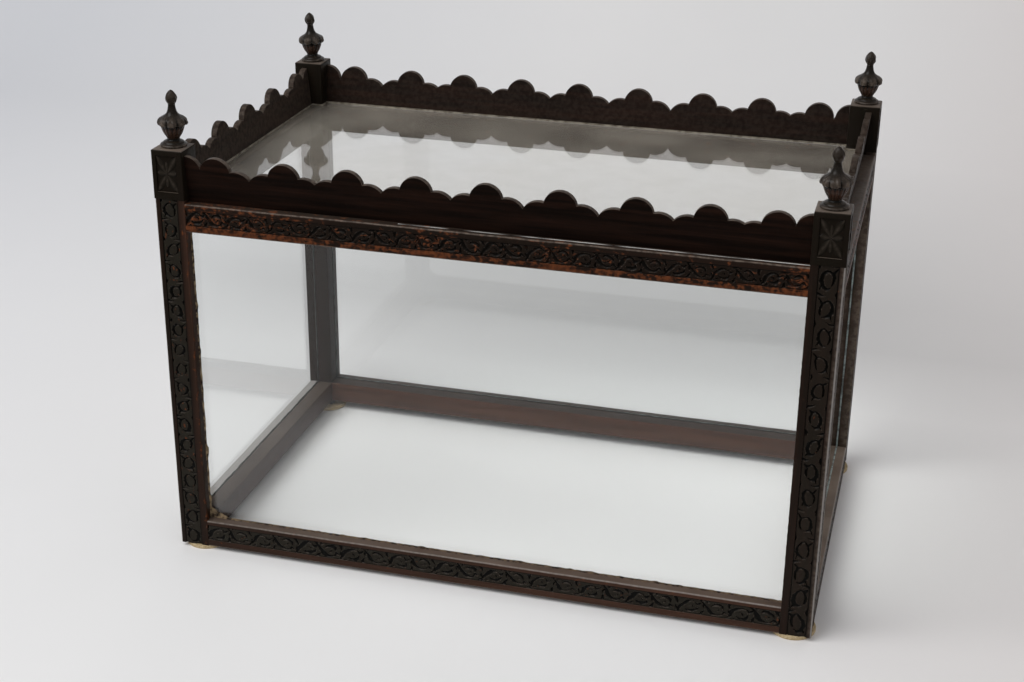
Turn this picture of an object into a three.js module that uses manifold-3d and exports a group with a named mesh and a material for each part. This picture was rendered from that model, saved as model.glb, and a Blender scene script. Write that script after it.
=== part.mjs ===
// Glazed wardian case in dark carved hardwood: an open-bottomed cover of four posts and eight
// rails round five panes of glass, with a scalloped gallery and four finials on top.
// Millimetres, +Z up, the front faces -Y, the origin is the middle of the footprint on the
// underside of the pads.
import * as THREE from 'three';
import * as BufferGeometryUtils from 'three/addons/utils/BufferGeometryUtils.js';
import Module from 'manifold-3d';

// Outside of the case
const caseWidth = 470;
const caseDepth = 280;
const postSide = 22;
const frameHeight = 269;
const postRise = 2.2;
const topRailHeight = 20.5;
const bottomRailHeight = 21.3;
const footCutDepth = 10;
const footCutHeight = 4;

// Upright panes: the front one lies in a rebate that is open to the inside, the others in grooves
const paneThickness = 2.5;
const paneSetback = 8;
const grooveDepth = 3;
const rebateWidth = 8.7;
const puttyWidth = 1.3;
const puttyDepth = 1.2;

// Top pane, lying on the rails inside the gallery
const topPaneThickness = 2.8;
const topPuttyWidth = 1.1;
const topPuttyHeight = 0.9;

// Gallery boards
const boardThickness = 4.7;
const longBoardSetback = 6.8;
const shortBoardSetback = 8.7;
const boardHeight = 33;
const boardLeanDegrees = 5.5;
const shortSideLobes = 5;

// Scallops of the gallery, as shares of the pitch from one big lobe to the next
const lobeRadiusShare = 0.2333;
const endLobeShare = 0.43;
const shoulderRadiusShare = 0.26;
const shoulderPlaceShare = 0.3;
const shoulderDropShare = 0.18;
const arcSteps = 7;

// The lobes were set out by eye: how far each big lobe lies right of an even spacing, seen from
// the front of the case, as a share of the pitch
const frontLobeShiftShares = [0.02, 0.054, 0.006, 0.008, 0.012, 0.052, 0.1, 0.09, -0.02];
const backLobeShiftShares = [0.054, 0.075, 0.008, 0.01, 0.002, 0.006, 0.067, 0.027, -0.056];

// Corner blocks
const blockSide = 22.6;
const blockHeight = 35;
const blockChamfer = 0.9;

// Finials
const finialHeight = 39.1;
const finialRadius = 10.5;
const finialLeaves = 8;
const leafCutShare = 0.17;
const finialSteps = 32;

// Pads under the corners
const padDiameter = 33;
const padThickness = 3;
const padInset = 14;
const padSteps = 36;

// Clearance round glass and between cut pieces
const fitGap = 0.3;

// Outline of a finial from foot to tip: share of the height, share of the greatest radius, and
// how far the leaves cut into the outline there (0 is round, 1 is fully leaved)
const finialProfileShares = [
  [0, 0.905, 0],
  [0.0205, 0.943, 0],
  [0.0435, 0.914, 0],
  [0.0537, 0.848, 0],
  [0.0614, 0.686, 0],
  [0.0818, 0.676, 0],
  [0.0972, 0.61, 0],
  [0.11, 0.438, 0],
  [0.1355, 0.438, 0],
  [0.174, 0.524, 0],
  [0.23, 0.61, 0],
  [0.307, 0.705, 0],
  [0.368, 0.762, 0],
  [0.384, 0.933, 1],
  [0.43, 1, 1],
  [0.476, 0.943, 1],
  [0.517, 0.762, 0.6],
  [0.552, 0.533, 0.3],
  [0.586, 0.4, 0],
  [0.629, 0.305, 0],
  [0.7, 0.238, 0],
  [0.757, 0.229, 0],
  [0.777, 0.305, 0],
  [0.808, 0.381, 0],
  [0.847, 0.414, 0],
  [0.895, 0.39, 0],
  [0.941, 0.305, 0],
  [0.977, 0.19, 0],
  [1, 0.057, 0],
];

// Heights and reaches that follow from the sizes above
const postFoot = padThickness;
const frameTop = postFoot + frameHeight;
const postTop = frameTop + postRise;
const openingFoot = postFoot + bottomRailHeight;
const openingTop = frameTop - topRailHeight;
const blockOverhang = (blockSide - postSide) / 2;
const blockReach = blockSide - blockOverhang;
const blockTop = postTop + blockHeight;

// Where the grooves and the rebate begin and end, counted in from an outer face
const grooveNear = paneSetback - fitGap;
const grooveFar = paneSetback + paneThickness + fitGap;
const grooveFloor = postSide - grooveDepth;
const rebateFloor = postSide - rebateWidth;
const rebateFoot = openingFoot - rebateWidth;
const rebateTop = openingTop + rebateWidth;

// Half sizes of the tray between the boards and of the pane that lies in it
const boardBackX = caseWidth / 2 - shortBoardSetback - boardThickness;
const boardBackY = caseDepth / 2 - longBoardSetback - boardThickness;
const topPaneHalfWidth = boardBackX - fitGap;
const topPaneHalfDepth = boardBackY - fitGap;
const topPaneTop = frameTop + topPaneThickness;

const up = new THREE.Vector3(0, 0, 1);
const sides = [
  { name: 'front', inward: new THREE.Vector3(0, 1, 0), reach: caseDepth / 2, span: caseWidth },
  { name: 'back', inward: new THREE.Vector3(0, -1, 0), reach: caseDepth / 2, span: caseWidth },
  { name: 'left', inward: new THREE.Vector3(1, 0, 0), reach: caseWidth / 2, span: caseDepth },
  { name: 'right', inward: new THREE.Vector3(-1, 0, 0), reach: caseWidth / 2, span: caseDepth },
];
const evenShiftShares = Array(shortSideLobes).fill(0);
const lobeShiftShares = {
  front: frontLobeShiftShares,
  back: backLobeShiftShares.map((share) => -share).reverse(),
  left: evenShiftShares,
  right: evenShiftShares,
};
const boardSetback = {
  front: longBoardSetback,
  back: longBoardSetback,
  left: shortBoardSetback,
  right: shortBoardSetback,
};
const corners = [
  { name: 'front-left', x: -1, y: -1 },
  { name: 'front-right', x: 1, y: -1 },
  { name: 'back-left', x: -1, y: 1 },
  { name: 'back-right', x: 1, y: 1 },
];

const wasm = await Module();
wasm.setup();
const group = new THREE.Group();
group.name = 'wardian-case';

function addPiece(name, geometry, colour, roughness, options = {}) {
  const material = new THREE.MeshStandardMaterial({ color: colour, roughness, metalness: 0, ...options });
  material.name = name;
  const mesh = new THREE.Mesh(geometry, material);
  mesh.name = name;
  group.add(mesh);
}

// A closed body through rings of points, each ring anticlockwise seen from above
function loft(rings) {
  const count = rings[0].length;
  const positions = rings.flat(2);
  const index = [];
  for (let ring = 0; ring + 1 < rings.length; ring += 1) {
    for (let step = 0; step < count; step += 1) {
      const next = (step + 1) % count;
      const a = ring * count + step;
      const b = ring * count + next;
      index.push(a, b, b + count, a, b + count, a + count);
    }
  }
  const last = (rings.length - 1) * count;
  for (let step = 1; step + 1 < count; step += 1) {
    index.push(0, step + 1, step);
    index.push(last, last + step, last + step + 1);
  }
  const geometry = new THREE.BufferGeometry();
  geometry.setAttribute('position', new THREE.Float32BufferAttribute(positions, 3));
  geometry.setIndex(index);
  geometry.computeVertexNormals();
  return geometry;
}

function squareRing(centreX, centreY, side, height) {
  const half = side / 2;
  return [
    [centreX - half, centreY - half, height],
    [centreX + half, centreY - half, height],
    [centreX + half, centreY + half, height],
    [centreX - half, centreY + half, height],
  ];
}

function roundRing(centreX, centreY, height, steps, radiusAt) {
  const ring = [];
  for (let step = 0; step < steps; step += 1) {
    const angle = (step / steps) * 2 * Math.PI;
    const radius = radiusAt(angle);
    ring.push([centreX + radius * Math.cos(angle), centreY + radius * Math.sin(angle), height]);
  }
  return ring;
}

function boxBetween(low, high) {
  const geometry = new THREE.BoxGeometry(high[0] - low[0], high[1] - low[1], high[2] - low[2]);
  geometry.translate((low[0] + high[0]) / 2, (low[1] + high[1]) / 2, (low[2] + high[2]) / 2);
  return geometry;
}

function toSolid(geometry) {
  const plain = geometry.clone();
  plain.deleteAttribute('normal');
  plain.deleteAttribute('uv');
  const merged = BufferGeometryUtils.mergeVertices(plain);
  const vertProperties = Float32Array.from(merged.attributes.position.array);
  const triVerts = Uint32Array.from(merged.index.array);
  return new wasm.Manifold(new wasm.Mesh({ numProp: 3, vertProperties, triVerts }));
}

function cut(body, tool) {
  const mesh = toSolid(body).subtract(toSolid(tool)).getMesh();
  const geometry = new THREE.BufferGeometry();
  geometry.setAttribute('position', new THREE.Float32BufferAttribute(mesh.vertProperties, 3));
  geometry.setIndex(Array.from(mesh.triVerts));
  geometry.computeVertexNormals();
  return geometry;
}

function shapeOf(points) {
  return new THREE.Shape(points.map(([x, y]) => new THREE.Vector2(x, y)));
}

function extrude(points, depth, hole) {
  const shape = shapeOf(points);
  if (hole) {
    shape.holes.push(shapeOf(hole));
  }
  return new THREE.ExtrudeGeometry(shape, { depth, bevelEnabled: false, steps: 1 });
}

function rectangle(left, bottom, right, top) {
  return [
    [left, bottom],
    [right, bottom],
    [right, top],
    [left, top],
  ];
}

// Places a section drawn as (distance in from the outer face, height) and extruded along a side
function alongSide(geometry, side, length) {
  const along = new THREE.Vector3().crossVectors(side.inward, up);
  const place = new THREE.Matrix4().makeBasis(side.inward, up, along);
  const start = side.inward.clone().multiplyScalar(-side.reach).addScaledVector(along, -length / 2);
  place.setPosition(start);
  return geometry.applyMatrix4(place);
}

// Places an outline drawn as (place along the side, height) and extruded outward from a plane
// that lies the given distance in from the outer face
function acrossSide(geometry, side, inset) {
  const along = new THREE.Vector3().crossVectors(side.inward, up);
  const outward = side.inward.clone().negate();
  const place = new THREE.Matrix4().makeBasis(along, up, outward);
  place.setPosition(side.inward.clone().multiplyScalar(inset - side.reach));
  return geometry.applyMatrix4(place);
}

// The room for a corner of the top pane, cut out of the post under it and the block over it
function paneRoom(corner) {
  const edgeX = corner.x * (topPaneHalfWidth + fitGap);
  const edgeY = corner.y * (topPaneHalfDepth + fitGap);
  const innerX = corner.x * (caseWidth / 2 - blockSide - postSide);
  const innerY = corner.y * (caseDepth / 2 - blockSide - postSide);
  return boxBetween(
    [Math.min(edgeX, innerX), Math.min(edgeY, innerY), frameTop],
    [Math.max(edgeX, innerX), Math.max(edgeY, innerY), topPaneTop + fitGap],
  );
}

// Posts: square, standing a little above the rails, with a groove for a side pane in one face
// and a groove or the rebate for the back or front pane in the next
const sideGroove = [
  [grooveFar, postSide],
  [grooveFar, grooveFloor],
  [grooveNear, grooveFloor],
  [grooveNear, postSide],
];
const backGroove = sideGroove.map(([u, v]) => [v, u]).reverse();

function frontRebate(corner) {
  const floorX = corner.x * (caseWidth / 2 - rebateFloor);
  const openX = corner.x * (caseWidth / 2 - 2 * postSide);
  const lipY = paneSetback - caseDepth / 2;
  const openY = 2 * postSide - caseDepth / 2;
  return boxBetween(
    [Math.min(floorX, openX), lipY, rebateFoot],
    [Math.max(floorX, openX), openY, rebateTop],
  );
}

for (const corner of corners) {
  const isFront = corner.y < 0;
  const outline = [
    [0, 0],
    [postSide, 0],
    ...(isFront ? [] : backGroove),
    [postSide, postSide],
    ...sideGroove,
    [0, postSide],
  ];
  const section = outline.map(([u, v]) => [
    corner.x * (caseWidth / 2 - u),
    corner.y * (caseDepth / 2 - v),
  ]);
  const whole = extrude(section, postTop - postFoot);
  whole.translate(0, 0, postFoot);
  const post = isFront ? cut(whole, frontRebate(corner)) : whole;
  addPiece(`post-${corner.name}`, cut(post, paneRoom(corner)), 0x34261d, 0.5);
}

// Rails: each with a groove for the pane in the face that looks into the opening, or at the
// front the rebate, and the bottom ones cut back inside their foot
for (const side of sides) {
  const isFront = side.name === 'front';
  const railLength = side.span - 2 * postSide;
  const topBed = isFront
    ? [
        [paneSetback, openingTop],
        [paneSetback, rebateTop],
        [postSide, rebateTop],
      ]
    : [
        [grooveNear, openingTop],
        [grooveNear, openingTop + grooveDepth],
        [grooveFar, openingTop + grooveDepth],
        [grooveFar, openingTop],
        [postSide, openingTop],
      ];
  const bottomBed = isFront
    ? [
        [postSide, rebateFoot],
        [paneSetback, rebateFoot],
        [paneSetback, openingFoot],
      ]
    : [
        [postSide, openingFoot],
        [grooveFar, openingFoot],
        [grooveFar, openingFoot - grooveDepth],
        [grooveNear, openingFoot - grooveDepth],
        [grooveNear, openingFoot],
      ];
  const topSection = [[0, openingTop], ...topBed, [postSide, frameTop], [0, frameTop]];
  const bottomSection = [
    [0, postFoot],
    [postSide - footCutDepth, postFoot],
    [postSide - footCutDepth, postFoot + footCutHeight],
    [postSide, postFoot + footCutHeight],
    ...bottomBed,
    [0, openingFoot],
  ];
  const topRail = alongSide(extrude(topSection, railLength), side, railLength);
  addPiece(`top-rail-${side.name}`, topRail, 0x43291c, 0.5);
  const bottomRail = alongSide(extrude(bottomSection, railLength), side, railLength);
  addPiece(`bottom-rail-${side.name}`, bottomRail, 0x3a2a20, 0.5);
}

// Upright panes, and the putty round each one on its outer face
const clear = { transparent: true, opacity: 0.3 };
for (const side of sides) {
  const halfOpening = side.span / 2 - postSide;
  const hold = (side.name === 'front' ? rebateWidth : grooveDepth) - fitGap;
  const paneOutline = rectangle(
    -halfOpening - hold,
    openingFoot - hold,
    halfOpening + hold,
    openingTop + hold,
  );
  const pane = acrossSide(extrude(paneOutline, paneThickness), side, paneSetback + paneThickness);
  addPiece(`glass-pane-${side.name}`, pane, 0xdfe8e4, 0.05, clear);
  const rim = rectangle(-halfOpening, openingFoot, halfOpening, openingTop);
  const sight = rectangle(
    -halfOpening + puttyWidth,
    openingFoot + puttyWidth,
    halfOpening - puttyWidth,
    openingTop - puttyWidth,
  );
  const putty = acrossSide(extrude(rim, puttyDepth, sight), side, paneSetback);
  addPiece(`putty-${side.name}`, putty, 0x3d332a, 0.9);
}

// Top pane, lying on the rails with its corners let in under the blocks
const topPane = boxBetween(
  [-topPaneHalfWidth, -topPaneHalfDepth, frameTop],
  [topPaneHalfWidth, topPaneHalfDepth, topPaneTop],
);
addPiece('glass-pane-top', topPane, 0xdfe8e4, 0.05, clear);

// Putty on the top pane, along the boards and round the inner corners of the blocks
function galleryOutline(back) {
  const farX = boardBackX - back;
  const farY = boardBackY - back;
  const nearX = caseWidth / 2 - blockReach - back;
  const nearY = caseDepth / 2 - blockReach - back;
  return [
    [-nearX, -farY],
    [nearX, -farY],
    [nearX, -nearY],
    [farX, -nearY],
    [farX, nearY],
    [nearX, nearY],
    [nearX, farY],
    [-nearX, farY],
    [-nearX, nearY],
    [-farX, nearY],
    [-farX, -nearY],
    [-nearX, -nearY],
  ];
}
const topPutty = extrude(galleryOutline(0), topPuttyHeight, galleryOutline(topPuttyWidth));
topPutty.translate(0, 0, topPaneTop);
addPiece('putty-top', topPutty, 0xa99f8c, 0.8);

// Corner blocks: chamfered on top
for (const corner of corners) {
  const centreX = corner.x * (caseWidth / 2 + blockOverhang - blockSide / 2);
  const centreY = corner.y * (caseDepth / 2 + blockOverhang - blockSide / 2);
  const body = loft([
    squareRing(centreX, centreY, blockSide, postTop),
    squareRing(centreX, centreY, blockSide, blockTop - blockChamfer),
    squareRing(centreX, centreY, blockSide - 2 * blockChamfer, blockTop),
  ]);
  addPiece(`corner-block-${corner.name}`, cut(body, paneRoom(corner)), 0x2e2620, 0.45);
}

// Gallery boards: a row of big lobes with a pair of low shoulders between each two
function addArc(points, centreX, centreY, radius, from, to) {
  for (let step = 1; step <= arcSteps; step += 1) {
    const angle = from + ((to - from) * step) / arcSteps;
    points.push([centreX + radius * Math.cos(angle), centreY + radius * Math.sin(angle)]);
  }
}

function scallopedOutline(length, shiftShares) {
  const lobes = shiftShares.length;
  const pitch = length / (lobes - 1 + 2 * endLobeShare);
  const lobeRadius = pitch * lobeRadiusShare;
  const lobeHeight = boardHeight - lobeRadius;
  const shoulderRadius = pitch * shoulderRadiusShare;
  const shoulderPlace = pitch * shoulderPlaceShare;
  const shoulderHeight = boardHeight - pitch * shoulderDropShare - shoulderRadius;
  const between = Math.hypot(shoulderPlace, lobeHeight - shoulderHeight);
  const slope = Math.atan2(shoulderHeight - lobeHeight, shoulderPlace);
  const lobeReach = (between ** 2 + lobeRadius ** 2 - shoulderRadius ** 2) / (2 * between);
  const shoulderReach = between - lobeReach;
  const lobeNotch = slope + Math.acos(lobeReach / lobeRadius);
  const shoulderNotch = slope + Math.PI - Math.acos(shoulderReach / shoulderRadius);
  const centres = shiftShares.map((share, lobe) => (lobe - (lobes - 1) / 2 + share) * pitch);
  const valleyOf = (spacing) => Math.acos(Math.min(1, (spacing / 2 - shoulderPlace) / shoulderRadius));
  const endValleyOf = (spacing) => Math.acos(Math.min(1, spacing / 2 / lobeRadius));
  const rightEndValley = endValleyOf(length / 2 - centres[lobes - 1]);
  const leftEndValley = endValleyOf(length / 2 + centres[0]);
  const points = [
    [-length / 2, 0],
    [length / 2, 0],
    [length / 2, boardHeight],
  ];
  addArc(points, length / 2, lobeHeight, lobeRadius, Math.PI / 2, Math.PI - rightEndValley);
  for (let lobe = lobes - 1; lobe >= 0; lobe -= 1) {
    const centre = centres[lobe];
    const first = lobe === lobes - 1;
    const last = lobe === 0;
    if (!first) {
      const valley = valleyOf(centres[lobe + 1] - centre);
      addArc(points, centre + shoulderPlace, shoulderHeight, shoulderRadius, valley, shoulderNotch);
    }
    const from = first ? rightEndValley : lobeNotch;
    const to = last ? Math.PI - leftEndValley : Math.PI - lobeNotch;
    addArc(points, centre, lobeHeight, lobeRadius, from, to);
    if (!last) {
      const valley = valleyOf(centre - centres[lobe - 1]);
      const notch = Math.PI - shoulderNotch;
      addArc(points, centre - shoulderPlace, shoulderHeight, shoulderRadius, notch, Math.PI - valley);
    }
  }
  addArc(points, -length / 2, lobeHeight, lobeRadius, leftEndValley, Math.PI / 2);
  return points;
}

const lean = Math.tan(THREE.MathUtils.degToRad(boardLeanDegrees));
for (const side of sides) {
  const length = side.span - 2 * blockReach;
  const board = extrude(scallopedOutline(length, lobeShiftShares[side.name]), boardThickness);
  board.applyMatrix4(new THREE.Matrix4().set(1, 0, 0, 0, 0, 1, 0, 0, 0, lean, 1, 0, 0, 0, 0, 1));
  board.translate(0, frameTop, 0);
  const placed = acrossSide(board, side, boardSetback[side.name] + boardThickness);
  addPiece(`gallery-board-${side.name}`, placed, 0x33241d, 0.4);
}

// Finials, standing on the middle of the blocks
for (const corner of corners) {
  const centreX = corner.x * (caseWidth / 2 + blockOverhang - blockSide / 2);
  const centreY = corner.y * (caseDepth / 2 + blockOverhang - blockSide / 2);
  const rings = finialProfileShares.map(([heightShare, radiusShare, leafShare]) => {
    const radius = radiusShare * finialRadius;
    const leafRadius = (angle) => {
      const gap = 1 - Math.abs(Math.cos((finialLeaves * angle) / 2));
      return radius * (1 - leafShare * leafCutShare * gap);
    };
    return roundRing(centreX, centreY, blockTop + heightShare * finialHeight, finialSteps, leafRadius);
  });
  addPiece(`finial-${corner.name}`, loft(rings), 0x3b322a, 0.45);
}

// Round pads under the corners, reaching a little past the outer faces
for (const corner of corners) {
  const centreX = corner.x * (caseWidth / 2 - padInset);
  const centreY = corner.y * (caseDepth / 2 - padInset);
  const radiusAt = () => padDiameter / 2;
  const pad = loft([
    roundRing(centreX, centreY, 0, padSteps, radiusAt),
    roundRing(centreX, centreY, padThickness, padSteps, radiusAt),
  ]);
  addPiece(`foot-pad-${corner.name}`, pad, 0xb08a5c, 0.95);
}

export default group;
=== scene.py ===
"""Wardian case: an old glazed plant case in dark carved hardwood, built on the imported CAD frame."""

import math

import bpy
import numpy as np
from bpy.props import FloatProperty, FloatVectorProperty, IntProperty, PointerProperty
from mathutils import Matrix, Vector, noise


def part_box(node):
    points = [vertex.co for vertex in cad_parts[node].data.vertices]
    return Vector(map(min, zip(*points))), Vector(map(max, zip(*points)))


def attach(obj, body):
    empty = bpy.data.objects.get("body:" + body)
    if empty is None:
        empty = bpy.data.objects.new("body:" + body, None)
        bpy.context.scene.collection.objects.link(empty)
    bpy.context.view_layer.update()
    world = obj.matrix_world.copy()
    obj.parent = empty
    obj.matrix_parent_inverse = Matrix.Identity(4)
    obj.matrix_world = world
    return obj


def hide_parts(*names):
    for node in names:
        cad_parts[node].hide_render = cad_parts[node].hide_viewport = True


bl_info = {
    "name": "Wardian Case",
    "version": (1, 0, 0),
    "blender": (4, 5, 0),
    "location": "3D View > Sidebar > Wardian Case",
    "description": "Builds a glazed plant case in carved hardwood on its CAD frame",
    "category": "Object",
}

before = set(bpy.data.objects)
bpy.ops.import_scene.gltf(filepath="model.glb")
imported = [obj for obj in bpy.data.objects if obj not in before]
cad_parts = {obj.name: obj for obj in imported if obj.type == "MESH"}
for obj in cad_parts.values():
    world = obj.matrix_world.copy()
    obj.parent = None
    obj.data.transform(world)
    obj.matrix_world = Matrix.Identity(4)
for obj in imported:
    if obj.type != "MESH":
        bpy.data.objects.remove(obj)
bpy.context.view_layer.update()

# Names of the corners and sides, with the quarter turns that take the front-left corner or the
# front side to each of them, seen from above
CORNERS = {"front-left": 0, "front-right": 1, "back-right": 2, "back-left": 3}
SIDES = {"front": 0, "right": 1, "back": 2, "left": 3}


def size_of(node):
    """Low corner, high corner and extent of a CAD node, in metres."""
    low, high = (np.array(corner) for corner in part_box(node))
    return low, high, high - low


post_low, post_high, post_size = size_of("post-front-left")
top_rail_low, top_rail_high, _ = size_of("top-rail-front")
foot_rail_low, foot_rail_high, _ = size_of("bottom-rail-front")
pane_low, pane_high, _ = size_of("glass-pane-front")
block_low, block_high, block_size = size_of("corner-block-front-left")
finial_size = size_of("finial-front-left")[2]

HALF_WIDTH = -post_low[0]
HALF_DEPTH = -post_low[1]
POST_SIDE = post_size[0]
PANE_SETBACK = pane_low[1] + HALF_DEPTH
PANE_THICKNESS = pane_high[1] - pane_low[1]
MM = 0.001

# Two places nearer than the first are one place; a point nearer to a face than the second lies
# on it, and one nearer to an edge than the third lies on its rounding
TOUCH = 0.01 * MM
SKIN = 0.05 * MM
ROUNDING = 0.9 * MM

# Beds of the panes in the posts and rails, and the cut along the foot of the bottom rails
GROOVE_NEAR = PANE_SETBACK - 0.05 * MM
GROOVE_FAR = PANE_SETBACK + PANE_THICKNESS + 0.05 * MM
GROOVE_DEPTH = 3 * MM
REBATE_WIDTH = 8.7 * MM
FOOT_CUT_DEPTH = 10 * MM
FOOT_CUT_HEIGHT = 4 * MM

# Length of the short lengths that bars and beads are divided into, so that their faces can wander
BAR_STEP = 4 * MM
BEAD_STEP = 1.6 * MM


def srgb(red, green, blue):
    """A colour given as 0 to 255 on screen, in Blender's linear values."""
    shares = [value / 255 for value in (red, green, blue)]
    return tuple(c / 12.92 if c <= 0.04045 else ((c + 0.055) / 1.055) ** 2.4 for c in shares)


def colour(name, description, value):
    return FloatVectorProperty(
        name=name, description=description, subtype="COLOR", size=3, min=0, max=1, default=value
    )


def length(name, description, value):
    return FloatProperty(name=name, description=description, unit="LENGTH", min=0, default=value)


class WoodSettings(bpy.types.PropertyGroup):
    """Colours of the stained, waxed and worn hardwood, and of the painted shade and highlights on it.
    """

    dark: colour("Dark wood", "Stained wood of the frame", srgb(29, 22, 17))
    red: colour("Red grain", "Redder streaks in the stained wood", srgb(40, 26, 20))
    faded: colour("Faded wood", "Brown of the inner faces and by the glass", srgb(82, 56, 44))
    band: colour("Carved band", "Greyed face of the carved bands", srgb(38, 35, 29))
    # The cut colour is painted shade at the bottom of the carver's cuts and in other hollows
    cut: colour("Cuts", "Bottom of the carver's cuts", srgb(8, 7, 5))
    worn: colour("Worn wood", "Brown wood where the stain is rubbed off", srgb(66, 37, 23))
    bare: colour("Bare wood", "Orange wood on the most worn places", srgb(98, 54, 30))
    black: colour("Black wood", "Nearly black wood of blocks and finials", srgb(24, 20, 14))
    deep: colour("Board wood", "Deep brown wood of the boards", srgb(17, 11, 8))
    grain: colour("Board grain", "Redder streaks in the boards", srgb(35, 21, 15))
    # The dust colour is real dust on the ledges, and also painted highlights and sheen on edges,
    # ledges and faces
    dust: colour("Dust", "Grey bloom on edges and ledges", srgb(108, 96, 86))


class CarvingSettings(bpy.types.PropertyGroup):
    """The vine cut into the outer faces of the posts and rails."""

    spacing: length("Grid spacing", "Distance between points of a carved face", 0.45 * MM)
    sink: length("Sink", "How far a carved band lies below its margins", 0.35 * MM)
    depth: length("Cut depth", "Depth of the deepest cuts below the band", 0.95 * MM)
    recess: length("Recess", "Depth of the recess that a band lies in", 2.2 * MM)
    foot_unit: length("Bottom rail unit", "Length of one leaf on the bottom rails", 17.7 * MM)
    top_unit: length("Top rail unit", "Length of one leaf on the top rails", 15 * MM)
    close_post_unit: length("Close post unit", "Length of a leaf on two of the posts", 15.4 * MM)
    wide_post_unit: length("Wide post unit", "Length of a leaf on the other posts", 19.4 * MM)
    post_outer_margin: length("Post outer margin", "Plain wood by the outer arris", 3.6 * MM)
    post_inner_margin: length("Post inner margin", "Plain wood by the opening", 5.2 * MM)
    top_lower_margin: length("Top rail lower margin", "Plain wood below the band", 4.8 * MM)
    top_upper_margin: length("Top rail upper margin", "Plain wood above the band", 4.4 * MM)
    foot_lower_margin: length("Bottom rail lower margin", "Plain wood below the band", 5.2 * MM)
    foot_upper_margin: length("Bottom rail upper margin", "Plain wood above the band", 3.6 * MM)
    arris: length("Arris", "Rounding of the outer edges", 1.1 * MM)
    inner_arris: length("Inner arris", "Rounding of the other edges", 0.6 * MM)


class GallerySettings(bpy.types.PropertyGroup):
    """The scalloped boards round the top."""

    thickness: length("Thickness", "Thickness of a board", 4.7 * MM)
    edge: length("Edge", "Rounding of the scalloped edge", 1.3 * MM)
    arc_steps: IntProperty(name="Arc steps", description="Points on each lobe", min=3, default=14)


class FinialSettings(bpy.types.PropertyGroup):
    """The turned and carved finials."""

    leaves: IntProperty(name="Leaves", description="Leaves round the collar", min=3, default=8)
    flutes: IntProperty(name="Flutes", description="Flutes round the cup", min=4, default=16)
    steps: IntProperty(name="Steps", description="Points round a finial", min=16, default=112)


class StageSettings(bpy.types.PropertyGroup):
    """Camera, floor and light."""

    floor: colour("Floor", "Pale floor", srgb(238, 237, 236))
    fill: FloatProperty(name="Fill", description="Strength of the light from all round", default=0.53)
    key: FloatProperty(name="Key", description="Power of the lamp in watts", default=56)
    lens: FloatProperty(name="Lens", description="Focal length in millimetres", default=58.56)
    camera_place: FloatVectorProperty(
        name="Camera", description="Place of the camera", subtype="TRANSLATION", unit="LENGTH",
        size=3, default=(0.28857, -1.12909, 0.6379),
    )
    camera_turn: FloatVectorProperty(
        name="Camera turn", description="Pitch up from straight down, roll and yaw",
        subtype="EULER", unit="ROTATION", size=3,
        default=(math.radians(90 - 23.206), math.radians(0.577), math.radians(15.148)),
    )


class CaseSettings(bpy.types.PropertyGroup):
    """All settings of the case."""

    wood: PointerProperty(type=WoodSettings)
    carving: PointerProperty(type=CarvingSettings)
    gallery: PointerProperty(type=GallerySettings)
    finial: PointerProperty(type=FinialSettings)
    stage: PointerProperty(type=StageSettings)


# Modelling: what every piece uses


def only(*pieces):
    """Selects the given pieces and makes the first one active."""
    bpy.ops.object.select_all(action="DESELECT")
    for piece in pieces:
        piece.select_set(True)
    bpy.context.view_layer.objects.active = pieces[0]


def named(piece, name):
    piece.name = name
    piece.data.name = name
    return piece


def start(add, name, **options):
    """Adds a primitive with everything else deselected."""
    bpy.ops.object.select_all(action="DESELECT")
    add(**options)
    return named(bpy.context.active_object, name)


def points_of(piece):
    places = np.empty(len(piece.data.vertices) * 3)
    piece.data.vertices.foreach_get("co", places)
    return places.reshape(-1, 3)


def move_points(piece, places):
    piece.data.vertices.foreach_set("co", places.ravel())
    piece.data.update()


def mark(piece, name, values):
    """Keeps a number between 0 and 1 for each point, for the piece's material to read."""
    layer = piece.data.attributes.get(name) or piece.data.attributes.new(name, "FLOAT", "POINT")
    values = np.broadcast_to(np.asarray(values, dtype=np.float32), len(layer.data))
    layer.data.foreach_set("value", np.ascontiguousarray(values))


def marks_of(piece, name):
    values = np.empty(len(piece.data.vertices))
    piece.data.attributes[name].data.foreach_get("value", values)
    return values


def edit(piece, action, kind="VERT"):
    """Opens a piece for editing with everything or nothing selected."""
    only(piece)
    bpy.ops.object.mode_set(mode="EDIT")
    bpy.ops.mesh.select_mode(type=kind)
    bpy.ops.mesh.select_all(action=action)


def close():
    bpy.ops.object.mode_set(mode="OBJECT")


def select_edges(piece, test):
    """Opens a piece with only those edges selected whose two end points pass the test."""
    places = points_of(piece)
    edit(piece, "DESELECT", "EDGE")
    close()
    for edge in piece.data.edges:
        first, second = edge.vertices
        edge.select = bool(test(places[first], places[second]))
    bpy.ops.object.mode_set(mode="EDIT")


def bevel(piece, test, width, segments=3, **options):
    """Rounds the edges whose two end points pass the test."""
    select_edges(piece, test)
    bpy.ops.mesh.bevel(offset=width, segments=segments, affect="EDGES", **options)
    close()


def pull(shift):
    """Extrudes what is selected, and closes the piece."""
    bpy.ops.mesh.extrude_region_move(TRANSFORM_OT_translate={"value": shift})
    close()


def outward(piece):
    """Merges doubled points and turns all faces outward."""
    edit(piece, "SELECT")
    bpy.ops.mesh.remove_doubles(threshold=1e-6)
    bpy.ops.mesh.normals_make_consistent(inside=False)
    close()


def apply():
    bpy.ops.object.transform_apply(location=True, rotation=True, scale=True)


def place(piece, matrix):
    """Moves a piece and keeps its place in its mesh."""
    only(piece)
    piece.matrix_world = matrix
    apply()


def copy_of(piece, name):
    twin = piece.copy()
    twin.data = piece.data.copy()
    bpy.context.collection.objects.link(twin)
    return named(twin, name)


def join(pieces, name):
    only(*pieces)
    bpy.ops.object.join()
    return named(pieces[0], name)


def coat(piece, material):
    piece.data.materials.clear()
    piece.data.materials.append(material)


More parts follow.
